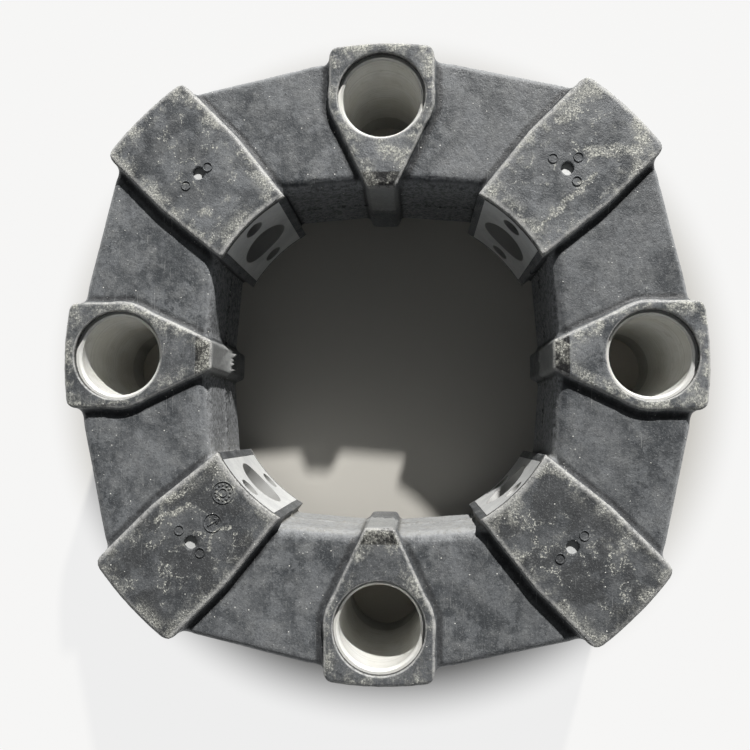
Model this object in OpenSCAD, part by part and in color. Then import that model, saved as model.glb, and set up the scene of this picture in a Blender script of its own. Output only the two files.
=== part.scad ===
// Flexible rubber coupling element: a rubber ring moulded round four axial
// bushes and four radial inserts of aluminium. All lengths are millimetres.
// The ring lies flat on the feet of its bushes, its axis is Z, and the first
// axial bush points along +X.

/* [Ring] */
// Diameter of the circle through the axial bushes
bolt_circle_d = 165; // [155:0.5:175]
// Thickness of the flat sections between lobes and pads
section_h = 41; // [38:0.5:46]
// How far the lobes rise above the sections, on each face
lobe_rise = 3; // [2:0.1:4]
// How far the pads rise above the sections, on each face
pad_rise = 4.5; // [3:0.1:6]

/* [Sections] */
// From the bolt circle out to the flat outer faces
section_outside = 14.3; // [13:0.1:15.5]
// Angle of each outer face to the lobe beside it
section_outer_lean = 12.75; // [10:0.25:15]
// From the bolt circle in to the flat inner faces
section_inside = 27.8; // [26:0.1:29]
// Angle of each inner face to the lobe beside it
section_inner_lean = 4.6; // [2:0.2:7]
// How far their corners stand back from the outer faces of the pads
section_setback = 4.8; // [4:0.1:6]
// Rounding of the outer edges
section_outer_r = 2.5; // [1:0.1:4]
// Rounding of the inner edges
section_inner_r = 4; // [2:0.1:5]
// Fillet where the sections meet lobes and pads
cove_r = 1.5; // [0.8:0.1:2.4]

/* [Lobes] */
// How far the outer face stands proud of the sections' outer faces
lobe_proud = 3; // [2:0.1:4]
// Rubber beside the bush
lobe_wall = 2.2; // [1.5:0.1:4]
// Rounding of the outer corners, seen from above
lobe_corner_r = 4; // [2:0.5:6]
// Rounding of the top and bottom edges
lobe_edge_r = 1.3; // [0.6:0.1:2]
// Angle of each flank of the tail to the line through the bush
flank_angle = 25.2; // [23:0.2:27]
// How far the flanks and sides stand back from the round of the lobe
flank_waist = 0.3; // [0.1:0.1:1]
// How far the end of the tail stands proud of the sections' inner faces
tail_proud = 2.3; // [1.5:0.1:3]
// Rounding of the tail's corners, seen from above
tail_corner_r = 1.6; // [1:0.1:2.2]
// Rounding of the top and bottom edges of its end
tail_end_r = 1.9; // [1:0.1:2.5]

/* [Pads] */
// How far the outer faces lie beyond the sections' outer faces
pad_proud = 11.8; // [11:0.1:13]
// Width of the outer part, whose sides are parallel
pad_w = 33.8; // [32:0.1:35]
// From the bolt circle in to the bend where the sides begin to close in
pad_bend_inside = 0.5; // [-2:0.1:3]
// Angle of each side within the bend to the line through the insert
pad_taper = 6.4; // [5:0.1:8]
// Rounding of the top and bottom edges of the sides
pad_edge_r = 1.1; // [0.6:0.1:2]
// Rounding of the top and bottom edges of the outer face
pad_end_r = 1.8; // [0.8:0.1:2.5]
// Rounding of the outer corners, seen from above
pad_corner_r = 4; // [2:0.5:5]
// Diameter of the mould pin's hole in the middle of the pad
pin_hole_d = 3.8; // [2:0.1:5]
// From the bolt circle in to the mould pin's hole
pin_hole_inside = 1.1; // [-8:0.1:12]

/* [Axial bushes] */
// Bore
bush_bore_d = 25; // [20:0.5:26]
// Wall within the rubber
bush_wall = 2.5; // [2:0.1:4]
// How far the bare foot below the rubber is stepped out
foot_step = 1; // [0.5:0.1:2]
// Height of the bare foot below the rubber
foot_h = 11; // [6:0.5:16]
// Chamfer of the ends
bush_chamfer = 0.6; // [0.3:0.1:1]
// How far the lip of rubber reaches in over the end of the bush
lip_reach = 1.2; // [0.8:0.1:1.6]
// Thickness of the lip of rubber
lip_h = 2.5; // [1.5:0.1:3.5]

/* [Radial inserts] */
// From the bolt circle in to the hub that the concave faces are turned to
hub_inside = 28.5; // [27:0.1:30]
// How far each face stands off the hub before it is bolted
face_gap = 4.4; // [3.6:0.1:5]
// Rubber above and below the insert
insert_cover = 2; // [1.5:0.1:3]
// Width at the concave face
insert_w = 22.9; // [21:0.1:24.5]
// Angle of each side to the line through the insert
insert_taper = 2.4; // [1:0.1:4]
// Rubber over the outer end of the insert
insert_end_skin = 2.5; // [1.5:0.1:4]
// Hole for the radial bolt
bolt_hole_d = 17.5; // [14:0.5:18.5]
// Chamfer of the bolt hole at the outer seat
bolt_chamfer = 0.5; // [0.3:0.1:1]
// Window in the rubber for the washer under the bolt's head
seat_window_d = 25; // [22:0.5:26]
// Diameter of the two blind locating holes in the concave face
locating_hole_d = 6.5; // [4:0.5:7]
// Distance between the two locating holes
locating_pitch = 33; // [31:0.5:34]
// Depth of the locating holes
locating_depth = 8; // [4:0.5:12]

/* [Hidden] */
$fn = 64;
// Overrun of a cutter past the face that it opens
over = 1;
// Longer than anything in the ring
long = 260;

bolt_circle_r = bolt_circle_d / 2;
section_outer = bolt_circle_r + section_outside;
section_inner = bolt_circle_r - section_inside;
section_top = section_h / 2;
bush_d = bush_bore_d + 2 * bush_wall;
lobe_h = section_h + 2 * lobe_rise;
lobe_reach = section_outer + lobe_proud;
lobe_half_w = bush_d / 2 + lobe_wall;
flank_offset = lobe_half_w - flank_waist;
tail_reach = section_inner - tail_proud;
pad_h = section_h + 2 * pad_rise;
pad_reach = section_outer + pad_proud;
pad_bend = bolt_circle_r - pad_bend_inside;
pin_hole_reach = bolt_circle_r - pin_hole_inside;
mid_z = foot_h + lobe_h / 2;
foot_d = bush_d + 2 * foot_step;
bush_h = foot_h + lobe_h - lip_h;
mouth_d = bush_d - 2 * lip_reach;
hub_r = bolt_circle_r - hub_inside;
insert_h = pad_h - 2 * insert_cover;
insert_reach = pad_reach - insert_end_skin;

// Turns its children to the four arms, from the given bearing on
module four_arms(first = 0) {
    for (k = [0 : 3]) rotate(first + 90 * k) children();
}

module both_sides() {
    children();
    mirror([0, 1, 0]) children();
}

module both_faces() {
    children();
    mirror([0, 0, 1]) children();
}

// What a rounding of radius r takes off the corner between two faces whose
// normals point at angles a and b, with the rounding's centre at the origin
module corner_2d(r, a = 0, b = 90) {
    far = r + over;
    tip = far / cos((b - a) / 2);
    difference() {
        polygon([[0, 0], far * [cos(a), sin(a)],
                 tip * [cos((a + b) / 2), sin((a + b) / 2)], far * [cos(b), sin(b)]]);
        circle(r);
    }
}

// A bar along Y with rounded edges beside its face at x = 0, which lies behind
// that face
module edge_bar(depth, h, r) {
    rotate([90, 0, 0]) linear_extrude(long, center = true) difference() {
        translate([-depth, -h / 2]) square([depth, h]);
        translate([-r, h / 2 - r]) corner_2d(r);
        translate([-r, r - h / 2]) corner_2d(r, -90, 0);
    }
}

// A disc about Z with rounded edges
module edge_disc(radius, h, r) {
    rotate_extrude($fn = 128) difference() {
        translate([0, -h / 2]) square([radius, h]);
        translate([radius - r, h / 2 - r]) corner_2d(r);
        translate([radius - r, r - h / 2]) corner_2d(r, -90, 0);
    }
}

// The fillet between a wall at x = 0 and the top of a section, with what lies
// to the given depth behind the wall
module cove_2d(depth = over) {
    difference() {
        translate([-depth, section_top - over]) square([depth + cove_r, cove_r + over]);
        translate([cove_r, section_top + cove_r]) circle(cove_r);
    }
}

module cove_bar(run) {
    rotate([90, 0, 0]) translate([0, 0, -run]) linear_extrude(run) cove_2d();
}

// Eight planes at one distance from the axis, which lean in pairs
module eight_planes(lean) {
    intersection_for (a = [-lean, lean, 90 - lean, 90 + lean]) rotate(a) children();
}

// A bar along Y with both its faces at the given distance from the axis
module section_bar(reach) {
    intersection_for (turn = [0, 180])
        rotate(turn) translate([reach, 0, 0]) edge_bar(2 * reach, section_h, section_outer_r);
}

// The plate whose eight long sides are the outer faces of the sections
module section_plate() {
    corner_reach = pad_reach - section_setback;
    intersection() {
        eight_planes(section_outer_lean) section_bar(section_outer);
        rotate(45) cube([2 * corner_reach, 2 * corner_reach, section_h], center = true);
    }
}

// The opening through the ring, flared so that it rounds the inner edges
module central_opening() {
    rim = section_top - section_inner_r;
    flare = section_inner + section_inner_r;
    eight_planes(section_inner_lean)
        rotate([90, 0, 0]) linear_extrude(long, center = true) {
            square([2 * section_inner, long], center = true);
            for (x = [0, 1], y = [0, 1])
                mirror([x, 0]) mirror([0, y]) difference() {
                    translate([0, rim]) square([flare, long / 2]);
                    translate([flare, rim]) circle(section_inner_r);
                }
        }
}

// The flat part of the sections, between their rounded edges
module flat_of_sections() {
    linear_extrude(long, center = true) difference() {
        eight_planes(section_outer_lean)
            square([2 * (section_outer - section_outer_r), long], center = true);
        eight_planes(section_inner_lean)
            square([2 * (section_inner + section_inner_r), long], center = true);
    }
}

// Places its children at the bush, with the tail along -X
module at_bush() {
    translate([bolt_circle_r, 0, 0]) children();
}

// Places its children on the flank of the tail, with the face along +Y
module on_flank() {
    rotate(90 + flank_angle) translate([flank_offset, 0, 0]) children();
}

module lobe_tail() {
    length = bolt_circle_r - tail_reach;
    root = flank_offset * sin(flank_angle);
    corner_x = tail_corner_r - length;
    corner_y = (flank_offset - tail_corner_r + corner_x * sin(flank_angle)) / cos(flank_angle);
    difference() {
        intersection() {
            on_flank() edge_bar(4 * flank_offset, lobe_h, lobe_edge_r);
            mirror([0, 1, 0]) on_flank() edge_bar(4 * flank_offset, lobe_h, lobe_edge_r);
            translate([-length, 0, 0]) rotate(180)
                edge_bar(length - root, lobe_h, tail_end_r);
        }
        both_sides() linear_extrude(long, center = true) translate([corner_x, corner_y])
            corner_2d(tail_corner_r, 90 + flank_angle, 180);
    }
}

module lobe_block() {
    corner_y = flank_offset - lobe_corner_r;
    corner_reach = lobe_reach - lobe_corner_r;
    lean = asin(corner_y / corner_reach);
    difference() {
        intersection() {
            edge_disc(lobe_reach, lobe_h, lobe_edge_r);
            rotate(90) translate([flank_offset, 0, 0])
                edge_bar(2 * flank_offset, lobe_h, lobe_edge_r);
            rotate(-90) translate([flank_offset, 0, 0])
                edge_bar(2 * flank_offset, lobe_h, lobe_edge_r);
            translate([bolt_circle_r, -long / 2, -long / 2]) cube(long);
        }
        both_sides() linear_extrude(long, center = true)
            rotate(lean) translate([corner_reach, 0]) rotate(-lean)
                corner_2d(lobe_corner_r, lean, 90);
    }
}

// One keystone lobe, round the bush on the arm along +X
module lobe() {
    at_bush() {
        edge_disc(lobe_half_w, lobe_h, lobe_edge_r);
        lobe_tail();
    }
    lobe_block();
}

// The fillet of the round starts midway between the walls of round and flanks, so
// that it crosses the fillets of the flanks and doesn't just touch them
module lobe_coves() {
    at_bush() {
        both_faces() rotate_extrude($fn = 128)
            translate([lobe_half_w - flank_waist / 2, 0]) cove_2d();
        both_faces() both_sides() on_flank() cove_bar(bolt_circle_r - tail_reach);
        both_faces() both_sides() rotate(90) translate([flank_offset, 0, 0])
            mirror([0, 1, 0]) cove_bar(lobe_reach - bolt_circle_r);
    }
}

// Places its children on the side of the pad that has the given taper, with the
// face along Y
module on_pad_side(taper) {
    translate([pad_bend, pad_w / 2, 0]) rotate(90 + taper) children();
}

// What the children have in common when they are placed on all four sides: the
// two parallel ones, and the two that close in within the bend
module within_pad_sides() {
    intersection_for (taper = [0, pad_taper]) intersection() {
        on_pad_side(taper) children();
        mirror([0, 1, 0]) on_pad_side(taper) children();
    }
}

// The cylinder that the concave faces are turned to, before the ring is bolted up
module hub_envelope() {
    translate([face_gap, 0, 0]) cylinder(h = long, r = hub_r, center = true, $fn = 128);
}

// One pad, round the insert on the arm along +X
module pad() {
    corner_reach = pad_reach - pad_corner_r;
    lean = asin((pad_w / 2 - pad_corner_r) / corner_reach);
    difference() {
        intersection() {
            within_pad_sides() edge_bar(2 * pad_w, pad_h, pad_edge_r);
            edge_disc(pad_reach, pad_h, pad_end_r);
            translate([hub_r, -pad_w, -pad_h]) cube([pad_reach, 2 * pad_w, 2 * pad_h]);
        }
        hub_envelope();
        both_sides() linear_extrude(long, center = true)
            rotate(lean) translate([corner_reach, 0]) rotate(-lean)
                corner_2d(pad_corner_r, lean, 90);
    }
}

module pad_coves() {
    both_faces() intersection() {
        within_pad_sides()
            rotate([90, 0, 0]) linear_extrude(long, center = true) cove_2d(2 * pad_w);
        translate([hub_r, -pad_w, 0]) cube([pad_reach - pad_corner_r - hub_r, 2 * pad_w, pad_h]);
    }
}

// The outside of a bush, with its foot
module bush_outline() {
    cylinder(h = bush_h, d = bush_d);
    cylinder(h = foot_h, d = foot_d);
}

// The outside of an insert, as high as its own plan is extruded
module insert_outline() {
    inner_half_w = insert_w / 2 - (hub_r + face_gap) * tan(insert_taper);
    outer_half_w = inner_half_w + insert_reach * tan(insert_taper);
    difference() {
        linear_extrude(insert_h, center = true)
            polygon([[0, -inner_half_w], [insert_reach, -outer_half_w],
                     [insert_reach, outer_half_w], [0, inner_half_w]]);
        hub_envelope();
    }
}

module rubber_body() {
    color([0.16, 0.17, 0.18]) difference() {
        translate([0, 0, mid_z]) difference() {
            union() {
                difference() {
                    section_plate();
                    central_opening();
                }
                intersection() {
                    union() {
                        four_arms() lobe_coves();
                        four_arms(45) pad_coves();
                    }
                    flat_of_sections();
                }
                four_arms() lobe();
                four_arms(45) pad();
            }
            four_arms(45) {
                insert_outline();
                translate([insert_reach - over, 0, 0]) rotate([0, 90, 0])
                    cylinder(h = long, d = seat_window_d);
                translate([pin_hole_reach, 0, 0])
                    cylinder(h = pad_h, d = pin_hole_d, $fn = 32);
            }
        }
        four_arms() at_bush() {
            bush_outline();
            cylinder(h = long, d = mouth_d);
        }
    }
}

module axial_bush() {
    bore_r = bush_bore_d / 2;
    color([0.72, 0.73, 0.74]) at_bush() rotate_extrude($fn = 128)
        polygon([[bore_r + bush_chamfer, 0], [foot_d / 2 - bush_chamfer, 0],
                 [foot_d / 2, bush_chamfer], [foot_d / 2, foot_h],
                 [bush_d / 2, foot_h], [bush_d / 2, bush_h],
                 [bore_r + bush_chamfer, bush_h], [bore_r, bush_h - bush_chamfer],
                 [bore_r, bush_chamfer]]);
}

module radial_insert() {
    hole_r = bolt_hole_d / 2;
    color([0.70, 0.71, 0.72]) translate([0, 0, mid_z]) difference() {
        insert_outline();
        rotate([0, 90, 0]) cylinder(h = long, d = bolt_hole_d);
        translate([insert_reach - bolt_chamfer, 0, 0]) rotate([0, 90, 0])
            cylinder(h = bolt_chamfer + over, r1 = hole_r, r2 = hole_r + bolt_chamfer + over);
        both_faces() translate([0, 0, locating_pitch / 2]) rotate([0, 90, 0])
            cylinder(h = face_gap + hub_r + locating_depth, d = locating_hole_d, $fn = 32);
    }
}

rubber_body();
axial_bush();  // axial_bush_e
rotate(90) axial_bush();  // axial_bush_n
rotate(180) axial_bush();  // axial_bush_w
rotate(270) axial_bush();  // axial_bush_s
rotate(45) radial_insert();  // radial_insert_ne
rotate(135) radial_insert();  // radial_insert_nw
rotate(225) radial_insert();  // radial_insert_sw
rotate(315) radial_insert();  // radial_insert_se
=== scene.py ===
import math

import bmesh
import bpy
import numpy as np
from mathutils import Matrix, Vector, noise


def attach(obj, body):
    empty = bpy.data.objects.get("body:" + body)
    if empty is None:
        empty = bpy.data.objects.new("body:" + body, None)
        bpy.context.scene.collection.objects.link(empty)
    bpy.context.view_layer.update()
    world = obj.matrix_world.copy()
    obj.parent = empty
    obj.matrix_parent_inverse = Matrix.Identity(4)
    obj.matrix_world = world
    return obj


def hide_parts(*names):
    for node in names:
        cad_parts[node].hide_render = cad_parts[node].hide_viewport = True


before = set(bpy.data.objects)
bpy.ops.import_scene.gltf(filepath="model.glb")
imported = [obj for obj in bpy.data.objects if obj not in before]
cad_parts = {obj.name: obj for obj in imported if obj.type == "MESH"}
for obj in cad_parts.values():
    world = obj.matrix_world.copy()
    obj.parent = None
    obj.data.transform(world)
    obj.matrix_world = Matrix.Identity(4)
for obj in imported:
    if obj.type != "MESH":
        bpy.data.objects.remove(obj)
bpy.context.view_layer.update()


# The axial bushes: four plain bushes turned from aluminium bar, one in each lobe.
# The rubber is bonded round them, laps a lip over their upper ends and leaves a
# bare foot below, on which the ring stands.

MM = 0.001
BOLT_CIRCLE_R = 82.5
BUSH_BORE_R = 12.5
BUSH_OUTER_R = 15
BUSH_H = 55.5
FOOT_R = 16
FOOT_H = 11
CHAMFER = 0.6
LAND = 0.12
BUSH_STEPS = 144
LOBE_BEARINGS = {"e": 0, "n": 90, "w": 180, "s": 270}

FRESH_TURNED = (0.88, 0.88, 0.86)
CLOUDED_TURNED = (0.77, 0.765, 0.72)
OLD_OIL = (0.50, 0.49, 0.43)
TOOL_MARK = (0.56, 0.56, 0.53)
DULL_FOOT = (0.36, 0.36, 0.35)


def new_finish(name):
    """An empty node material, its node tree and its main shader."""
    material = bpy.data.materials.new(name)
    material.use_nodes = True
    return material, material.node_tree, material.node_tree.nodes["Principled BSDF"]


def add_node(tree, kind, inputs=None, **options):
    """Adds one shader node, with its inputs linked or filled in."""
    node = tree.nodes.new("ShaderNode" + kind)
    for option, value in options.items():
        setattr(node, option, value)
    for socket, value in (inputs or {}).items():
        if isinstance(value, bpy.types.NodeSocket):
            tree.links.new(value, node.inputs[socket])
        else:
            node.inputs[socket].default_value = value
    return node


def reckon(tree, operation, *values):
    """The result of one sum in the shader."""
    return add_node(tree, "Math", dict(enumerate(values)), operation=operation).outputs[0]


def product(tree, first, *others):
    """Several shares multiplied together."""
    for other in others:
        first = reckon(tree, "MULTIPLY", first, other)
    return first


def ramp(tree, value, low, high, start=0.0, end=1.0):
    """Runs smoothly from start to end while value runs from low to high."""
    return add_node(tree, "MapRange",
                    {"Value": value, "From Min": low, "From Max": high,
                     "To Min": start, "To Max": end},
                    interpolation_type="SMOOTHSTEP").outputs["Result"]


def grain(tree, place, size_mm, detail=4.0, roughness=0.55, shift=0.0):
    """Noise from 0 to 1 with lumps of about the given size."""
    return add_node(tree, "TexNoise",
                    {"Vector": place, "W": shift, "Scale": 1 / size_mm,
                     "Detail": detail, "Roughness": roughness},
                    noise_dimensions="4D").outputs["Fac"]


def blend_colours(tree, share, first, second):
    """The mix of two colours, either of which may be a socket."""
    node = tree.nodes.new("ShaderNodeMix")
    node.data_type = "RGBA"
    for socket, value in ((node.inputs[0], share), (node.inputs[6], first), (node.inputs[7], second)):
        if isinstance(value, bpy.types.NodeSocket):
            tree.links.new(value, socket)
        else:
            socket.default_value = value if isinstance(value, float) else (*value, 1)
    return node.outputs[2]


def place_in_mm(tree):
    """The point on the object, in millimetres."""
    where = add_node(tree, "TexCoord").outputs["Object"]
    scaled = add_node(tree, "VectorMath", {0: where}, operation="SCALE")
    scaled.inputs["Scale"].default_value = 1000
    return scaled.outputs[0]


def bump(tree, shader, height, depth_mm):
    """Gives the shader's surface a relief of the given depth."""
    node = add_node(tree, "Bump", {"Height": height, "Distance": depth_mm * MM, "Strength": 1.0})
    tree.links.new(node.outputs["Normal"], shader.inputs["Normal"])


def new_piece(name, shape):
    """An object made of the given bmesh."""
    bmesh.ops.recalc_face_normals(shape, faces=shape.faces)
    mesh = bpy.data.meshes.new(name)
    shape.to_mesh(mesh)
    shape.free()
    piece = bpy.data.objects.new(name, mesh)
    bpy.context.scene.collection.objects.link(piece)
    return piece


def turn(shape, outline, steps, centre):
    """Turns a closed outline of (radius, height) points about an upright axis. A
    point on the axis makes the middle of a disc."""
    middles = {z: shape.verts.new((centre[0] * MM, centre[1] * MM, z * MM)) for r, z in outline if r == 0}
    rings = []
    for step in range(steps):
        angle = math.tau * step / steps
        rings.append([middles[z] if r == 0 else
                      shape.verts.new(((centre[0] + r * math.cos(angle)) * MM,
                                       (centre[1] + r * math.sin(angle)) * MM, z * MM))
                      for r, z in outline])
    for step in range(steps):
        here, there = rings[step], rings[(step + 1) % steps]
        for k in range(len(outline)):
            after = (k + 1) % len(outline)
            corners = list(dict.fromkeys((here[k], there[k], there[after], here[after])))
            if len(corners) > 2:
                shape.faces.new(corners)


bush_outline = [
    (BUSH_BORE_R, CHAMFER), (BUSH_BORE_R + CHAMFER, LAND), (BUSH_BORE_R + CHAMFER + LAND, 0),
    (FOOT_R - CHAMFER - LAND, 0), (FOOT_R - CHAMFER, LAND), (FOOT_R - LAND, CHAMFER),
    (FOOT_R, CHAMFER + LAND), (FOOT_R, FOOT_H - LAND), (FOOT_R - LAND, FOOT_H),
    (BUSH_OUTER_R, FOOT_H), (BUSH_OUTER_R, BUSH_H - LAND), (BUSH_OUTER_R - LAND, BUSH_H),
    (BUSH_BORE_R + CHAMFER + LAND, BUSH_H), (BUSH_BORE_R + CHAMFER, BUSH_H - LAND),
    (BUSH_BORE_R + LAND, BUSH_H - CHAMFER), (BUSH_BORE_R, BUSH_H - CHAMFER - LAND)]

turned_aluminium, tree, shader = new_finish("turned_aluminium")
place = place_in_mm(tree)
height = add_node(tree, "SeparateXYZ", {0: place}).outputs["Z"]
# Tool marks run round the bore, so they vary with height alone.
tool_marks = add_node(tree, "TexNoise", {"W": height, "Scale": 1.5, "Detail": 3.0, "Roughness": 0.7},
                      noise_dimensions="1D").outputs["Fac"]
stain = grain(tree, place, 11, 5)
film = grain(tree, place, 3.2, 6, 0.62, 4.0)
colour = blend_colours(tree, ramp(tree, stain, 0.35, 0.68), FRESH_TURNED, CLOUDED_TURNED)
colour = blend_colours(tree, ramp(tree, film, 0.54, 0.74, 0, 0.45), colour, OLD_OIL)
colour = blend_colours(tree, ramp(tree, tool_marks, 0.48, 0.66, 0, 0.5), colour, TOOL_MARK)
# The bare foot has gone dull.
on_foot = ramp(tree, height, FOOT_H + 0.6, FOOT_H - 0.2, 0, 0.45)
colour = blend_colours(tree, on_foot, colour, DULL_FOOT)
tree.links.new(colour, shader.inputs["Base Color"])
shader.inputs["Metallic"].default_value = 0.3
rough = reckon(tree, "ADD", ramp(tree, stain, 0.3, 0.7, 0.40, 0.55), product(tree, tool_marks, 0.10))
tree.links.new(rough, shader.inputs["Roughness"])
bump(tree, shader, tool_marks, 0.03)

for side, bearing in LOBE_BEARINGS.items():
    shape = bmesh.new()
    angle = math.radians(bearing)
    centre = BOLT_CIRCLE_R * math.cos(angle), BOLT_CIRCLE_R * math.sin(angle)
    turn(shape, bush_outline, BUSH_STEPS, centre)
    bush = new_piece(f"turned_bush_{side}", shape)
    bush.data.shade_smooth()
    bush.data.set_sharp_from_angle(angle=math.radians(32))
    bush.data.materials.append(turned_aluminium)
    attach(bush, "root")
    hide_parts(f"axial_bush_{side}")


# The radial inserts: four aluminium blocks, one in each pad. The face that bears
# on the hub is milled hollow, and two blind holes, above and below the hole for
# the radial bolt, locate it.

PAD_BEARINGS = {"ne": 45, "nw": 135, "sw": 225, "se": 315}
RING_MID_Z = 34.5
INSERT_HALF_H = 23
BOLT_HOLE_R = 8.75
LOCATING_HOLE_R = 3.25
LOCATING_RISE = 16.5
WORN_EDGE = 0.25
# Out to this distance from the ring's axis, a dark band of painted shade lies along the hollow face's
# edges.
EDGE_SHADE_REACH = 62

FRESH_MILLED = (0.80, 0.81, 0.80)
CLOUDED_MILLED = (0.64, 0.65, 0.65)
PIT = (0.30, 0.30, 0.29)
HOLE_SHADE = (0.40, 0.40, 0.39)
EDGE_SHADE = (0.04, 0.04, 0.04)


def distance(tree, x, y):
    """A point's distance from the origin."""
    squares = reckon(tree, "MULTIPLY_ADD", x, x, reckon(tree, "MULTIPLY", y, y))
    return reckon(tree, "SQRT", squares)


def most(tree, first, *others):
    """The largest of several values."""
    for other in others:
        first = reckon(tree, "MAXIMUM", first, other)
    return first


milled_aluminium, tree, shader = new_finish("milled_aluminium")
place = place_in_mm(tree)
parts = add_node(tree, "SeparateXYZ", {0: place}).outputs
milling = add_node(tree, "TexNoise", {"W": parts["Z"], "Scale": 1.3, "Detail": 4.0, "Roughness": 0.6},
                   noise_dimensions="1D").outputs["Fac"]
cloud = grain(tree, place, 9, 5, 0.6, 2.0)
pits = grain(tree, place, 0.7, 3, 0.6, 7.0)
colour = blend_colours(tree, ramp(tree, cloud, 0.3, 0.7), FRESH_MILLED, CLOUDED_MILLED)
colour = blend_colours(tree, ramp(tree, pits, 0.60, 0.74, 0, 0.6), colour, PIT)

# Painted shade darkens the walls of the holes.
sides = reckon(tree, "ABSOLUTE", parts["X"]), reckon(tree, "ABSOLUTE", parts["Y"])
beside = product(tree, reckon(tree, "SUBTRACT", *sides), math.sqrt(0.5))
rise = reckon(tree, "ABSOLUTE", reckon(tree, "SUBTRACT", parts["Z"], RING_MID_Z))
from_bolt = distance(tree, beside, rise)
from_locating = distance(tree, beside, reckon(tree, "SUBTRACT", rise, LOCATING_RISE))
in_hole = most(tree, ramp(tree, from_bolt, BOLT_HOLE_R + 0.25, BOLT_HOLE_R + 0.1),
               ramp(tree, from_locating, LOCATING_HOLE_R + 0.25, LOCATING_HOLE_R + 0.1))
hole_shade = product(tree, in_hole, ramp(tree, cloud, 0.3, 0.7, 0.95, 0.75))
colour = blend_colours(tree, hole_shade, colour, HOLE_SHADE)

# Painted shade: a dark band along the hollow face's upper and lower edges, under the rubber lips.
from_axis = distance(tree, parts["X"], parts["Y"])
edge_shade = product(tree, ramp(tree, rise, INSERT_HALF_H - 0.9, INSERT_HALF_H - 0.5, 0, 0.9),
                ramp(tree, from_axis, EDGE_SHADE_REACH + 2, EDGE_SHADE_REACH))
colour = blend_colours(tree, edge_shade, colour, EDGE_SHADE)
tree.links.new(colour, shader.inputs["Base Color"])
shader.inputs["Metallic"].default_value = 0.3
rough = reckon(tree, "ADD", ramp(tree, cloud, 0.3, 0.7, 0.45, 0.6), product(tree, milling, 0.08))
tree.links.new(rough, shader.inputs["Roughness"])
bump(tree, shader, reckon(tree, "SUBTRACT", milling, product(tree, pits, 0.5)), 0.04)

for side in PAD_BEARINGS:
    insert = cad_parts[f"radial_insert_{side}"]
    insert.data.materials.clear()
    insert.data.materials.append(milled_aluminium)
    worn_edges = insert.modifiers.new("worn_edges", "BEVEL")
    worn_edges.width = WORN_EDGE * MM
    worn_edges.segments = 2
    worn_edges.limit_method = "ANGLE"
    worn_edges.angle_limit = math.radians(40)


# The rubber ring: one moulding of filled natural rubber, vulcanised round the
# bushes and inserts in a steel mould of two halves. Its edges are soft, a ragged
# line of flash runs round its middle, and it is scuffed where it stands proud.

SECTION_HALF_H = 20.5
# The sections' outer and inner borders in plan: each faces this many degrees off a
# lobe's centre line, at this reach from the ring's axis.
SECTION_OUTER_LEAN = 12.75
SECTION_OUTER_REACH = 96.8
SECTION_INNER_LEAN = 4.6
SECTION_INNER_REACH = 54.7
LOBE_HALF_H = 23.5
LOBE_REACH = 99.8
LOBE_HALF_W = 16.9
FLANK_ANGLE = 25.2
TAIL_REACH = 52.4
TAIL_HALF_W = 5.45
PAD_HALF_H = 25
PAD_REACH = 108.6
PAD_HALF_W = 16.9
# Towards the hub a pad's flanks draw in by this many degrees, along borders at this
# reach from the ring's axis.
PAD_TAPER = 6.4
PAD_TAPER_REACH = 7.654
POCKET_HALF_W = 13.2
FACE_GAP = 4.4
HUB_R = 54
MOUTH_R = 13.8

CAST_GRID = 0.45
TRIANGLES = 190000
# How far the moulding's surface lies inside the solid's, how uneven it is, and how
# deep its chips go.
SKIN = 0.08
UNEVEN = 0.035
CHIP = 0.22
FLASH_PROUD = 0.62
FLASH_HALF_H = 0.62
FRINGE_PROUD = 1.9
FRINGE_HALF_H = 0.6
FRINGE_HALF_W = 4.2
FRINGE_MID_Y = -0.3
# The pads' upper faces lie this much lower than the solid's, to leave room for
# the marks of the mould. The drop starts this far above the sections' faces.
PAD_DROP = 0.6
PAD_DROP_FROM = 1.9
# The sections swell by this much between the raised parts.
SWELL_H = 0.6
# The mould's corners between upright faces are filled out. Each is given in plan
# on a lobe's or a pad's centre line: along it, beside it, and how far it reaches.
LOBE_CORNERS = [(95.4, LOBE_HALF_W, 5.4), (54.4, TAIL_HALF_W, 2.4)]
PAD_CORNERS = [(103.6, PAD_HALF_W, 4.4), (59.6, 14.4, 2.6)]
FILL_ROUNDS = 90

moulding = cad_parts["rubber_body"]
shape = bmesh.new()
shape.from_mesh(moulding.data)
bmesh.ops.remove_doubles(shape, verts=shape.verts, dist=0.001 * MM)
ring = new_piece("rubber_ring", shape)


def take_modifiers(piece):
    """Makes what the modifiers show the piece's own mesh."""
    graph = bpy.context.evaluated_depsgraph_get()
    result = bpy.data.meshes.new_from_object(piece.evaluated_get(graph))
    piece.modifiers.clear()
    old, piece.data = piece.data, result
    bpy.data.meshes.remove(old)


def points_of(mesh):
    """The vertices of a mesh, in millimetres."""
    flat = np.empty(len(mesh.vertices) * 3)
    mesh.vertices.foreach_get("co", flat)
    return flat.reshape(-1, 3) / MM


def normals_of(mesh):
    """The directions that a mesh faces at its vertices."""
    flat = np.empty(len(mesh.vertices) * 3)
    mesh.vertices.foreach_get("normal", flat)
    return flat.reshape(-1, 3)


def move_points(mesh, points):
    """Puts the vertices of a mesh in new places, given in millimetres."""
    mesh.vertices.foreach_set("co", (points * MM).ravel())
    mesh.update()


def fold(points):
    """Each point's distances along and beside the nearest lobe's centre line, and
    the same for the nearest pad's."""
    sides = np.abs(points[:, :2])
    along, beside = sides.max(axis=1), sides.min(axis=1)
    return along, beside, (along + beside) / math.sqrt(2), (along - beside) / math.sqrt(2)


cast = ring.modifiers.new("cast", "REMESH")
cast.mode = "VOXEL"
cast.voxel_size = CAST_GRID * MM
take_modifiers(ring)

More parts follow.
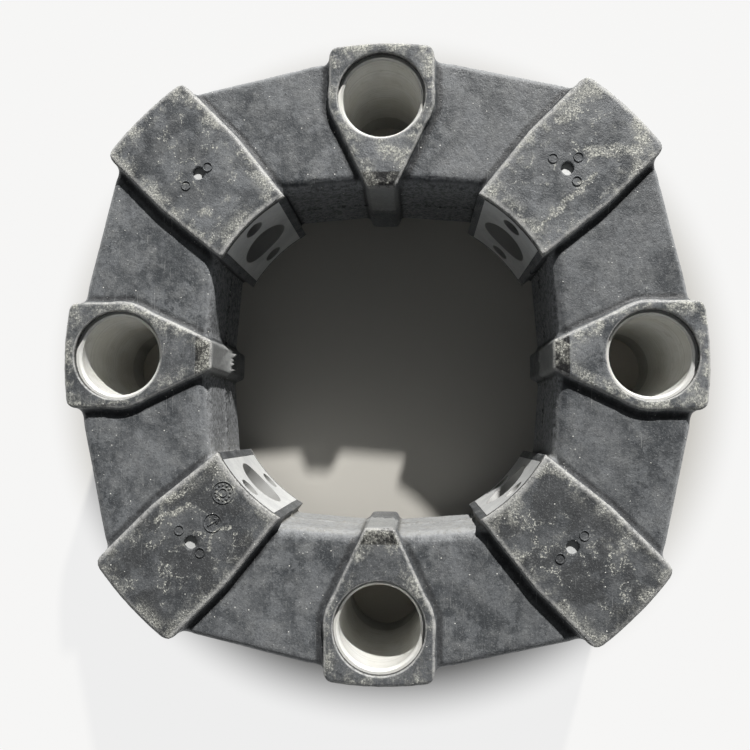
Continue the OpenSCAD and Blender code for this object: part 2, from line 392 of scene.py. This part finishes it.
points = points_of(ring.data)
lobe_along, lobe_beside, pad_along, pad_beside = fold(points)
near_corner = np.zeros(len(points))
for corners, along, beside in ((LOBE_CORNERS, lobe_along, lobe_beside),
                               (PAD_CORNERS, pad_along, pad_beside)):
    for corner_along, corner_beside, reach in corners:
        gap = np.hypot(along - corner_along, beside - corner_beside)
        near_corner = np.maximum(near_corner, np.clip(1.6 - 1.6 * gap / reach, 0, 1))
near_corner *= np.clip(SECTION_HALF_H + 2.0 - np.abs(points[:, 2] - RING_MID_Z), 0, 1)
group = ring.vertex_groups.new(name="corners")
for weight in np.unique(np.round(near_corner[near_corner > 0], 1)):
    members = np.nonzero(np.abs(near_corner - weight) <= 0.05)[0]
    group.add(members.tolist(), float(weight), "REPLACE")
fill = ring.modifiers.new("fill", "SMOOTH")
fill.factor = 0.5
fill.iterations = FILL_ROUNDS
fill.vertex_group = "corners"
soften = ring.modifiers.new("soften", "SMOOTH")
soften.factor = 0.5
soften.iterations = 1
take_modifiers(ring)

# Hand-filled moulds leave the faces a little uneven, and the rubber is chipped
# and dented along its edges. All of it stays within the moulding's own size.
points = points_of(ring.data)
normals = normals_of(ring.data)
x, y, z = points.T
swell = (np.sin(x / 7.3 + 1.1 * np.sin(y / 11.0)) * np.sin(y / 6.1 + 0.8 * np.sin(z / 9.0))
         + 0.6 * np.sin(x / 3.1 + y / 3.7 + 2.0) * np.sin(y / 2.9 - x / 4.3 + z / 5.0))
lobe_along, lobe_beside, pad_along, pad_beside = fold(points)
rise = np.abs(z - RING_MID_Z)
on_edge = (np.abs(normals[:, 2]) > 0.2) & (np.abs(normals[:, 2]) < 0.96) & (rise > SECTION_HALF_H - 2.5)
chipped = np.zeros(len(points))
for k in np.nonzero(on_edge)[0]:
    chipped[k] = noise.noise(Vector(points[k] / 1.3)) + 0.7 * noise.noise(Vector(points[k] / 3.4))
depth = SKIN + UNEVEN * swell + CHIP * np.clip(chipped - 0.25, 0, 1)

# The flash stands out where the two halves of the mould met, but not in the
# pockets of the bushes and inserts, nor on the outermost faces.
upright = np.abs(normals[:, 2]) < 0.35
from_bush = np.hypot(lobe_along - BOLT_CIRCLE_R, lobe_beside)
in_pocket = (from_bush < BUSH_OUTER_R + 1) | (
    (pad_beside < POCKET_HALF_W) & (pad_along > HUB_R) & (pad_along < PAD_REACH - 1))
bearing = np.arctan2(y, x)
ragged = (0.5 + 0.3 * np.sin(31 * bearing + 2.2 * np.sin(7 * bearing)) + 0.25 * np.sin(83 * bearing + 1.0)
          + 0.25 * np.sin(197 * bearing + 3 * np.sin(5 * bearing)))
flash = np.clip(ragged, 0.1, 1.2) * np.clip(1 - (rise / FLASH_HALF_H) ** 2, 0, 1)
flash[~upright | in_pocket | (lobe_along > LOBE_REACH - 1.2)] = 0
points -= normals * (depth - FLASH_PROUD * flash)[:, None]

# A longer fringe of it is left at the end of one tail.
fringe = (0.55 + 0.3 * np.sin(4.3 * y + 1.9 * np.sin(1.7 * y))
          + 0.3 * np.sin(9.7 * y + 2.6 * np.sin(2.9 * y)))
fringe = np.clip(fringe, 0.15, 1.2)
fringe *= (np.clip(1 - (rise / FRINGE_HALF_H) ** 2, 0, 1)
           * np.clip(FRINGE_HALF_W - np.abs(y - FRINGE_MID_Y), 0, 1))
fringe[(x > 0) | (lobe_along > TAIL_REACH + 1.2)] = 0
points[:, 0] += FRINGE_PROUD * fringe

on_pad = ((z > RING_MID_Z + SECTION_HALF_H + PAD_DROP_FROM)
          & (pad_along > HUB_R) & (pad_beside < PAD_HALF_W + 1))
dropped = np.clip((rise - SECTION_HALF_H - PAD_DROP_FROM) / 2.0, 0, 1)
points[:, 2] -= np.where(on_pad, PAD_DROP * dropped, 0)
swollen = np.clip((rise - SECTION_HALF_H + 3) / 3, 0, 1) * np.clip((LOBE_HALF_H - 0.4 - rise) / 2.6, 0, 1)
swollen[from_bush < BUSH_OUTER_R + 0.6] = 0
points[:, 2] += np.sign(z - RING_MID_Z) * SWELL_H * swollen
move_points(ring.data, points)

thin = ring.modifiers.new("thin", "DECIMATE")
thin.ratio = TRIANGLES / (2 * len(ring.data.polygons))
take_modifiers(ring)
ring.data.shade_smooth()

DEEP_RUBBER = (0.068, 0.074, 0.081)
BLOOMED_RUBBER = (0.176, 0.184, 0.193)
SMEARED_RUBBER = (0.235, 0.247, 0.260)
PALE_PATCH = (0.235, 0.243, 0.247)
STREAK = (0.27, 0.278, 0.285)
DARKENED_RUBBER = (0.052, 0.054, 0.056)
DARK_CRUMB = (0.05, 0.052, 0.056)
DARK_GRIT = (0.04, 0.042, 0.045)
PALE_GRIT = (0.33, 0.34, 0.345)
CREASE_SHADE = (0.035, 0.036, 0.038)
WALL_SHADE = (0.022, 0.023, 0.025)
WALL_DUST = (0.25, 0.245, 0.225)
TAIL_END = (0.34, 0.345, 0.34)
LIP_SHADE = (0.015, 0.015, 0.016)
MOUTH_SHADE = (0.03, 0.03, 0.031)
MUD_HAZE = (0.30, 0.30, 0.275)
SCUFF = (0.34, 0.34, 0.31)
MUD_GRAIN = (0.70, 0.70, 0.63)
RUBBED_RIM = (0.34, 0.35, 0.36)
RUBBED_EDGE_AND_HIGHLIGHT = (0.50, 0.50, 0.49)
SCRATCH = (0.48, 0.49, 0.49)
SPECK = (0.78, 0.78, 0.74)

worn_rubber, tree, shader = new_finish("worn_rubber")
shader.inputs["Specular IOR Level"].default_value = 0.3
place = place_in_mm(tree)
parts = add_node(tree, "SeparateXYZ", {0: place}).outputs
sides = reckon(tree, "ABSOLUTE", parts["X"]), reckon(tree, "ABSOLUTE", parts["Y"])
along = reckon(tree, "MAXIMUM", *sides)
across = reckon(tree, "MINIMUM", *sides)
pad_along = product(tree, reckon(tree, "ADD", along, across), math.sqrt(0.5))
pad_across = product(tree, reckon(tree, "SUBTRACT", along, across), math.sqrt(0.5))
rise = reckon(tree, "ABSOLUTE", reckon(tree, "SUBTRACT", parts["Z"], RING_MID_Z))


def inside_line(tree, x, y, facing, reach):
    """How far a point lies inside a straight border, in millimetres. The border
    faces so many degrees round from x, at that reach from the origin."""
    angle = math.radians(facing)
    out = reckon(tree, "MULTIPLY_ADD", y, math.sin(angle), reckon(tree, "MULTIPLY", x, math.cos(angle)))
    return reckon(tree, "SUBTRACT", reach, out)


def least(tree, first, *others):
    """The smallest of several values."""
    for other in others:
        first = reckon(tree, "MINIMUM", first, other)
    return first


def left_by(tree, share):
    """What a share leaves of 1."""
    return reckon(tree, "SUBTRACT", 1.0, share)


def band(tree, value, start, rises, falls, end):
    """1 between rises and falls, and 0 beyond start and end."""
    return product(tree, ramp(tree, value, start, rises), ramp(tree, value, falls, end, 1, 0))


from_bush = reckon(tree, "SUBTRACT", along, BOLT_CIRCLE_R)
from_axis = distance(tree, along, across)
inside_lobe = least(tree,
                    inside_line(tree, from_bush, across, 90 + FLANK_ANGLE, LOBE_HALF_W),
                    inside_line(tree, along, across, 90, LOBE_HALF_W),
                    inside_line(tree, along, across, 180, -TAIL_REACH),
                    reckon(tree, "SUBTRACT", LOBE_REACH, from_axis))
from_hub = distance(tree, reckon(tree, "SUBTRACT", pad_along, FACE_GAP), pad_across)
inside_pad = least(tree,
                   inside_line(tree, pad_along, pad_across, 90, PAD_HALF_W),
                   inside_line(tree, pad_along, pad_across, 90 + PAD_TAPER, PAD_TAPER_REACH),
                   reckon(tree, "SUBTRACT", PAD_REACH, from_axis),
                   reckon(tree, "SUBTRACT", from_hub, HUB_R))
inside_raised = most(tree, inside_lobe, inside_pad)
inside_section = least(tree,
                       inside_line(tree, along, across, SECTION_OUTER_LEAN, SECTION_OUTER_REACH),
                       inside_line(tree, along, across, 180 + SECTION_INNER_LEAN, -SECTION_INNER_REACH))
inside_mouth = reckon(tree, "SUBTRACT", distance(tree, from_bush, across), MOUTH_R)


def drawn_out(tree, place, turned, beside, upward):
    """The place turned about Z and squeezed, so that grain there becomes streaks."""
    return add_node(tree, "Mapping", {"Vector": place, "Rotation": (0, 0, turned),
                                      "Scale": (1, beside, upward)}).outputs[0]


def speck_dots(tree, place, spacing, low, high):
    """Small dots, one in each of a share of cells of about the given size."""
    cells = add_node(tree, "TexVoronoi", {"Vector": place, "Scale": 1 / spacing}).outputs
    chance = add_node(tree, "SeparateColor", {0: cells["Color"]}).outputs["Red"]
    return product(tree, ramp(tree, cells["Distance"], 0.14 / spacing, 0.26 / spacing, 1, 0),
                   ramp(tree, chance, low, high))


mottle = grain(tree, place, 17, 5, 0.62)
patches = grain(tree, place, 5, 5, 0.64, 3.0)
crumbs = grain(tree, place, 1.1, 4, 0.75, 5.0)
grit = grain(tree, place, 0.6, 3, 0.8, 9.0)
streaks = grain(tree, drawn_out(tree, place, 0.5, 0.12, 0.2), 1.9, 5, 0.65, 1.0)
scratches = []
for turned, width, shift in ((0.9, 0.42, 11.0), (-0.6, 0.5, 15.0), (2.3, 0.38, 21.0)):
    lined = grain(tree, drawn_out(tree, place, turned, 0.035, 0.05), width, 2, 0.5, shift)
    scratches.append(ramp(tree, lined, 0.68, 0.74))
scratched = product(tree, most(tree, *scratches), ramp(tree, patches, 0.4, 0.6, 0.25, 1))
crumb_dots = speck_dots(tree, place, 1.1, 0.45, 0.6)
white_dots = speck_dots(tree, place, 2.1, 0.74, 0.80)
oil = grain(tree, place, 10, 5, 0.6, 13.0)
smears = grain(tree, place, 7, 6, 0.7, 19.0)

raised = ramp(tree, inside_raised, -1.0, 0.2)
low_down = ramp(tree, rise, SECTION_HALF_H + 0.9, SECTION_HALF_H + 1.5, 1, 0)
on_pads = ramp(tree, inside_pad, -0.2, 0.6)
south = ramp(tree, reckon(tree, "MULTIPLY_ADD", parts["X"], 0.35, parts["Y"]), 30, -50)

# The rubber itself: clouded and smeared all over, darker to the south and east,
# and oily in places on the pads.
colour = blend_colours(tree, ramp(tree, mottle, 0.38, 0.62), DEEP_RUBBER, BLOOMED_RUBBER)
colour = blend_colours(tree, ramp(tree, smears, 0.50, 0.56, 0, 0.5), colour, SMEARED_RUBBER)
colour = blend_colours(tree, ramp(tree, patches, 0.44, 0.72, 0, 0.8), colour, PALE_PATCH)
colour = blend_colours(tree, ramp(tree, streaks, 0.52, 0.72, 0, 0.22), colour, STREAK)
southern = product(tree, south, ramp(tree, raised, 0, 1, 0.13, 0.45))
colour = blend_colours(tree, southern, colour, DARKENED_RUBBER)
eastern = product(tree, ramp(tree, parts["X"], 5, 55, 0, 0.18), ramp(tree, raised, 0, 1, 1, 0))
colour = blend_colours(tree, eastern, colour, DARKENED_RUBBER)
oily = product(tree, on_pads, ramp(tree, oil, 0.47, 0.57), ramp(tree, south, 0, 1, 0.3, 0.75))
colour = blend_colours(tree, oily, colour, DARKENED_RUBBER)
colour = blend_colours(tree, ramp(tree, crumbs, 0.51, 0.68, 0, 0.5), colour, DARK_CRUMB)
colour = blend_colours(tree, ramp(tree, grit, 0.54, 0.66, 0, 0.55), colour, DARK_GRIT)
colour = blend_colours(tree, ramp(tree, grit, 0.45, 0.36, 0, 0.4), colour, PALE_GRIT)
# Painted shade: a dark band on the sections round the feet of the raised parts.
crease_shade = product(tree, band(tree, inside_raised, -3.0, -1.6, -0.6, 0.1), low_down,
                ramp(tree, crumbs, 0.3, 0.6, 0.5, 0.9))
colour = blend_colours(tree, crease_shade, colour, CREASE_SHADE)

# Painted shade darkens the walls of the opening, but for the one that dust fell on.
on_walls = product(tree, ramp(tree, from_axis, 66, 63),
                   ramp(tree, rise, SECTION_HALF_H - 0.4, SECTION_HALF_H - 1.6),
                   left_by(tree, raised))
dusty_side = ramp(tree, parts["Y"], -20, -40)
wall_shade = product(tree, on_walls, left_by(tree, dusty_side), 0.85)
colour = blend_colours(tree, wall_shade, colour, WALL_SHADE)
wall_dust = product(tree, on_walls, dusty_side, ramp(tree, patches, 0.35, 0.6, 0.5, 0.95))
colour = blend_colours(tree, wall_dust, colour, WALL_DUST)
# The tails' ends are pale above the line of flash.
tail_ends = product(tree, ramp(tree, along, TAIL_REACH + 1.4, TAIL_REACH + 0.7), ramp(tree, across, 10, 9),
                    ramp(tree, parts["Z"], RING_MID_Z - 1.2, RING_MID_Z - 0.2),
                    ramp(tree, crumbs, 0.3, 0.6, 0.95, 0.6))
colour = blend_colours(tree, tail_ends, colour, TAIL_END)
# Painted shade: the rubber lips above and below the inserts' hollow faces are painted darkest.
lip_shade_mask = product(tree, ramp(tree, from_hub, HUB_R + 0.7, HUB_R + 0.35),
               ramp(tree, rise, INSERT_HALF_H - 0.7, INSERT_HALF_H - 0.3),
               ramp(tree, rise, PAD_HALF_H - 0.7, PAD_HALF_H - 1.2))
colour = blend_colours(tree, lip_shade_mask, colour, LIP_SHADE)
# Painted shade darkens the inside of the rubber lip round each bush's mouth.
mouth_shade = product(tree, ramp(tree, inside_mouth, 0.25, 0.05),
                   ramp(tree, rise, LOBE_HALF_H - 0.3, LOBE_HALF_H - 0.8))
colour = blend_colours(tree, mouth_shade, colour, MOUTH_SHADE)

# Dried mud: a haze with a crust of pale grains, thickest along the raised parts'
# edges, and the outlines of puddles that dried up.
near_rim = ramp(tree, inside_raised, 0.4, 6.5, 1, 0)
on_raised_face = product(tree, raised, ramp(tree, rise, SECTION_HALF_H + 1.6, SECTION_HALF_H + 2.4))
dusty = product(tree, on_raised_face, most(tree, near_rim, ramp(tree, mottle, 0.55, 0.62)),
                ramp(tree, patches, 0.43, 0.60), ramp(tree, south, 0, 1, 1, 0.62))
colour = blend_colours(tree, product(tree, dusty, 0.5), colour, MUD_HAZE)


def stroke(tree, x, y, start, end, width):
    """1 along a straight stroke between two places, fading out to either side."""
    run = np.subtract(end, start)
    length = float(np.hypot(*run))
    towards_x, towards_y = (float(share) for share in run / length)
    off_x, off_y = reckon(tree, "SUBTRACT", x, start[0]), reckon(tree, "SUBTRACT", y, start[1])
    reached = reckon(tree, "MULTIPLY_ADD", off_x, towards_x, reckon(tree, "MULTIPLY", off_y, towards_y))
    reached = most(tree, least(tree, reached, length), 0.0)
    gap = distance(tree, reckon(tree, "MULTIPLY_ADD", reached, -towards_x, off_x),
                   reckon(tree, "MULTIPLY_ADD", reached, -towards_y, off_y))
    return ramp(tree, gap, width * 0.3, width, 1, 0)


# Scuffs on two of the pads: where each starts, where it ends, and its width. A
# place is given along the pad's centre line, and to the left of it.
SCUFFS = {"sw": [((69.4, 4.3), (73.5, 3.7), 1.0), ((73.5, 3.7), (79.0, 4.8), 0.8),
                 ((70.7, -13.5), (77.4, -14.1), 1.6), ((74.0, -8.3), (84.5, -12.5), 1.3)],
          "ne": [((104.0, 13.0), (90.7, 11.6), 2.2), ((90.0, -1.5), (100.7, -11.0), 2.6),
                 ((60.0, -6.5), (86.0, -7.5), 1.2)]}
wander = product(tree, reckon(tree, "SUBTRACT", patches, 0.5), 9)
scuffs = []
for side, strokes in SCUFFS.items():
    turned = math.radians(PAD_BEARINGS[side])
    east, north = math.cos(turned), math.sin(turned)
    out = reckon(tree, "MULTIPLY_ADD", parts["X"], east, reckon(tree, "MULTIPLY", parts["Y"], north))
    left = reckon(tree, "MULTIPLY_ADD", parts["Y"], east, reckon(tree, "MULTIPLY", parts["X"], -north))
    left = reckon(tree, "ADD", left, wander)
    for start, end, width in strokes:
        scuffs.append(stroke(tree, out, left, start, end, width))
scuffed = product(tree, most(tree, *scuffs), on_pads, ramp(tree, crumbs, 0.62, 0.44))
colour = blend_colours(tree, product(tree, scuffed, 0.4), colour, SCUFF)
puddle = reckon(tree, "ABSOLUTE", reckon(tree, "SUBTRACT", oil, 0.5))
puddle = product(tree, on_pads, ramp(tree, puddle, 0.004, 0.014, 1, 0), ramp(tree, patches, 0.46, 0.58))
crust = most(tree, dusty, puddle, scuffed)
colour = blend_colours(tree, product(tree, crust, ramp(tree, grit, 0.52, 0.43)), colour, MUD_GRAIN)

# Edges and rims are rubbed pale, and on the raised parts and mouths the pale edges are partly a painted
# highlight. Scratches and specks lie over everything.
rim = product(tree, band(tree, inside_section, -0.6, 0.1, 1.0, 2.2), low_down,
              ramp(tree, crumbs, 0.38, 0.6, 0.25, 0.8), left_by(tree, raised))
colour = blend_colours(tree, rim, colour, RUBBED_RIM)
lobe_edge = product(tree, band(tree, inside_lobe, -0.4, 0.0, 0.5, 1.2),
                    ramp(tree, rise, LOBE_HALF_H - 1.5, LOBE_HALF_H - 0.6))
pad_edge = product(tree, band(tree, inside_pad, -0.4, 0.0, 0.7, 2.2),
                   ramp(tree, rise, PAD_HALF_H - 2.4, PAD_HALF_H - 1.3))
mouth_edge = product(tree, band(tree, inside_mouth, 0.0, 0.15, 0.3, 0.7),
                     ramp(tree, rise, LOBE_HALF_H - 1.0, LOBE_HALF_H - 0.3))
edge_wear_and_highlight = product(tree, most(tree, lobe_edge, pad_edge, mouth_edge),
                    ramp(tree, crumbs, 0.36, 0.56, 0.25, 1))
colour = blend_colours(tree, product(tree, edge_wear_and_highlight, 0.75), colour, RUBBED_EDGE_AND_HIGHLIGHT)
colour = blend_colours(tree, product(tree, scratched, 0.42), colour, SCRATCH)
crumb_dots = product(tree, crumb_dots, most(tree, crust, ramp(tree, patches, 0.54, 0.68, 0.08, 0.7)))
dots = most(tree, crumb_dots, white_dots)
colour = blend_colours(tree, dots, colour, SPECK)
tree.links.new(colour, shader.inputs["Base Color"])

dull = most(tree, product(tree, dusty, 0.8), wall_dust)
rough = reckon(tree, "ADD", ramp(tree, dull, 0, 1, 0.42, 0.8), ramp(tree, patches, 0.3, 0.7, -0.05, 0.1))
rough = reckon(tree, "SUBTRACT", rough, product(tree, edge_wear_and_highlight, 0.14))
# The walls of the opening were never rubbed, and are dull.
rough = most(tree, rough, product(tree, on_walls, 0.9))
tree.links.new(rough, shader.inputs["Roughness"])
relief = reckon(tree, "MULTIPLY_ADD", crumbs, 0.6, product(tree, patches, 1.4))
relief = reckon(tree, "MULTIPLY_ADD", grit, -0.45, relief)
relief = reckon(tree, "SUBTRACT", relief, product(tree, scratched, 0.3))
bump(tree, shader, reckon(tree, "MULTIPLY_ADD", dots, 0.5, relief), 0.28)

ring.data.materials.clear()
ring.data.materials.append(worn_rubber)
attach(ring, "root")
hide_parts("rubber_body")


# The marks of the mould: small raised rings beside each pad's pin hole, and on
# one pad two dials of the kind that is let into a mould to show when a piece was
# made. They are of the same rubber as the ring and part of its moulding.

# The marks stand this high on the pads' lowered faces.
MARK_H = 0.3
MARK_TOP = RING_MID_Z + PAD_HALF_H - PAD_DROP - SKIN + MARK_H
MARK_ROOT = MARK_TOP - 1.0
MARK_SLOPE = 0.16
# Each small ring's place: along the pad's centre line, and to the left of it.
SMALL_RINGS = {"ne": [(80.6, 5.4), (86.3, 0.1), (80.6, -4.8)], "nw": [(80.8, -3.4), (81.4, 5.6)],
               "sw": [(81.3, 4.2), (81.2, -5.2)], "se": [(81.3, 5.0), (81.0, -4.9)]}
SMALL_RING_R = 1.4
SMALL_RING_W = 0.4
DOT_DIAL = (63.7, -3.9)
DOT_DIAL_R = 3.35
DOT_DIAL_MIDDLE_R = 1.25
DOT_DIAL_W = 0.34
DOTS = 12
DOT_R = 0.34
DOT_CIRCLE_R = 2.3
ARROW_DIAL = (72.3, 0.5)
ARROW_DIAL_R = 2.75
ARROW_DIAL_W = 0.36


def on_pad_face(bearing, along, left):
    """A place on a pad's upper face, in plan."""
    turned = math.radians(bearing)
    return (along * math.cos(turned) - left * math.sin(turned),
            along * math.sin(turned) + left * math.cos(turned))


def raised_dot(shape, radius, centre):
    """A dot with a rounded edge."""
    rounding = 0.35 * radius
    turn(shape, [(0, MARK_TOP), (radius - rounding, MARK_TOP), (radius - 0.3 * rounding, MARK_TOP - 0.08),
                 (radius, MARK_TOP - 0.22), (radius, MARK_ROOT), (0, MARK_ROOT)], 36, centre)


def raised_ring(shape, radius, width, centre):
    """A ring with slanted sides, measured along its middle."""
    half = width / 2
    turn(shape, [(radius - half, MARK_ROOT), (radius - half, MARK_TOP - MARK_SLOPE),
                 (radius - 0.4 * half, MARK_TOP), (radius + 0.4 * half, MARK_TOP),
                 (radius + half, MARK_TOP - MARK_SLOPE), (radius + half, MARK_ROOT)], 64, centre)


def raised_bar(shape, start, end, width):
    """A ridge between two places in plan, with slanted sides."""
    run = np.subtract(end, start)
    side = np.array((-run[1], run[0])) / np.hypot(*run) * width / 2
    loops = []
    for spread, z in ((1.0, MARK_ROOT), (1.0, MARK_TOP - MARK_SLOPE), (0.45, MARK_TOP)):
        loops.append([shape.verts.new(((px + sx * spread) * MM, (py + sy * spread) * MM, z * MM))
                      for (px, py), (sx, sy) in ((start, side), (end, side), (end, -side), (start, -side))])
    for low, high in zip(loops, loops[1:]):
        for k in range(4):
            shape.faces.new((low[k], low[(k + 1) % 4], high[(k + 1) % 4], high[k]))
    shape.faces.new(loops[0][::-1])
    shape.faces.new(loops[-1])


shape = bmesh.new()
for side, places in SMALL_RINGS.items():
    for along, left in places:
        raised_ring(shape, SMALL_RING_R, SMALL_RING_W, on_pad_face(PAD_BEARINGS[side], along, left))

centre = on_pad_face(PAD_BEARINGS["sw"], *DOT_DIAL)
raised_ring(shape, DOT_DIAL_R, DOT_DIAL_W, centre)
raised_ring(shape, DOT_DIAL_MIDDLE_R, DOT_DIAL_W, centre)
for dot in range(DOTS):
    angle = math.tau * dot / DOTS
    raised_dot(shape, DOT_R, (centre[0] + DOT_CIRCLE_R * math.cos(angle),
                              centre[1] + DOT_CIRCLE_R * math.sin(angle)))

centre = on_pad_face(PAD_BEARINGS["sw"], *ARROW_DIAL)
raised_ring(shape, ARROW_DIAL_R, ARROW_DIAL_W, centre)
tip = np.add(centre, (1.9, 1.1))
for start, end, width in ((np.subtract(centre, (1.5, 0.9)), tip, 0.7),
                          (tip, tip + (-1.5, 0.1), 0.5),
                          (tip, tip + (-0.7, -1.3), 0.5)):
    raised_bar(shape, tuple(start), tuple(end), width)

marks = new_piece("mould_marks", shape)
marks.data.shade_smooth()
marks.data.set_sharp_from_angle(angle=math.radians(50))
marks.data.materials.append(worn_rubber)
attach(marks, "root")


# The studio: a pale floor with a low sun-like lamp from beyond the ring's far
# side, a soft sky, and a camera held almost straight above.

HALF_FLOOR = 3.0
WHITE_FROM = 106
WHITE_AT = 135
# The camera sees the floor in the first colour, and the floor throws light back as
# if it had the second.
FLOOR_SHOWN = (0.47, 0.455, 0.42)
FLOOR_THROWN_BACK = (0.09, 0.09, 0.085)
SKY = (0.95, 0.98, 1.0, 1)
SUNLIGHT = (1.0, 0.985, 0.96)
TOWARDS_SUN = (0.233, 0.825, 0.515)
LENS = 36.143
FILM_W = 36
CAMERA_PLACE = (0.01062, -0.02319, 0.2880)
CAMERA_TURN = (4.223, 3.0048, 0.2853)

floor_mesh = bpy.data.meshes.new("floor")
floor_mesh.from_pydata([(-HALF_FLOOR, -HALF_FLOOR, 0), (HALF_FLOOR, -HALF_FLOOR, 0),
                        (HALF_FLOOR, HALF_FLOOR, 0), (-HALF_FLOOR, HALF_FLOOR, 0)], [], [(0, 1, 2, 3)])
floor = bpy.data.objects.new("floor", floor_mesh)
bpy.context.scene.collection.objects.link(floor)
pale, tree, shader = new_finish("pale_floor")
shader.inputs["Roughness"].default_value = 0.9
shader.inputs["Specular IOR Level"].default_value = 0.1
path = add_node(tree, "LightPath").outputs
mirrored = reckon(tree, "ADD", path["Is Glossy Ray"], path["Is Transmission Ray"])
seen = least(tree, 1.0, reckon(tree, "ADD", path["Is Camera Ray"], mirrored))
tree.links.new(blend_colours(tree, seen, FLOOR_THROWN_BACK, FLOOR_SHOWN), shader.inputs["Base Color"])
# The floor turns white at some way from the ring.
away = add_node(tree, "VectorMath", {0: place_in_mm(tree)}, operation="LENGTH").outputs["Value"]
white = product(tree, seen, ramp(tree, away, WHITE_FROM, WHITE_AT, 0, 0.85))
glow = add_node(tree, "Emission", {"Color": (1, 1, 1, 1), "Strength": 1.0})
both = add_node(tree, "MixShader", {0: white, 1: shader.outputs[0], 2: glow.outputs[0]})
tree.links.new(both.outputs[0], tree.nodes["Material Output"].inputs["Surface"])
floor_mesh.materials.append(pale)

world = bpy.data.worlds.new("studio")
bpy.context.scene.world = world
world.use_nodes = True
tree = world.node_tree
background = tree.nodes["Background"]
background.inputs["Color"].default_value = SKY
# A pale backdrop stands low all round, and leaves the sky above it dim.
facing = add_node(tree, "TexCoord").outputs["Generated"]
upward = add_node(tree, "SeparateXYZ", {0: facing}).outputs["Z"]
tree.links.new(ramp(tree, upward, 0.10, 0.30, 0.75, 0.055), background.inputs["Strength"])

key_light = bpy.data.lights.new("key", "SUN")
key_light.energy = 5.8
key_light.angle = math.radians(2)
key_light.color = SUNLIGHT
key = bpy.data.objects.new("key", key_light)
key.rotation_euler = Vector(TOWARDS_SUN).to_track_quat("Z", "Y").to_euler()
bpy.context.scene.collection.objects.link(key)

camera_data = bpy.data.cameras.new("camera")
camera_data.lens = LENS
camera_data.sensor_width = FILM_W
camera_data.clip_start = 0.01
camera = bpy.data.objects.new("camera", camera_data)
camera.location = CAMERA_PLACE
camera.rotation_euler = [math.radians(a) for a in CAMERA_TURN]
bpy.context.scene.collection.objects.link(camera)
bpy.context.scene.camera = camera

bpy.context.scene.view_settings.view_transform = "Standard"
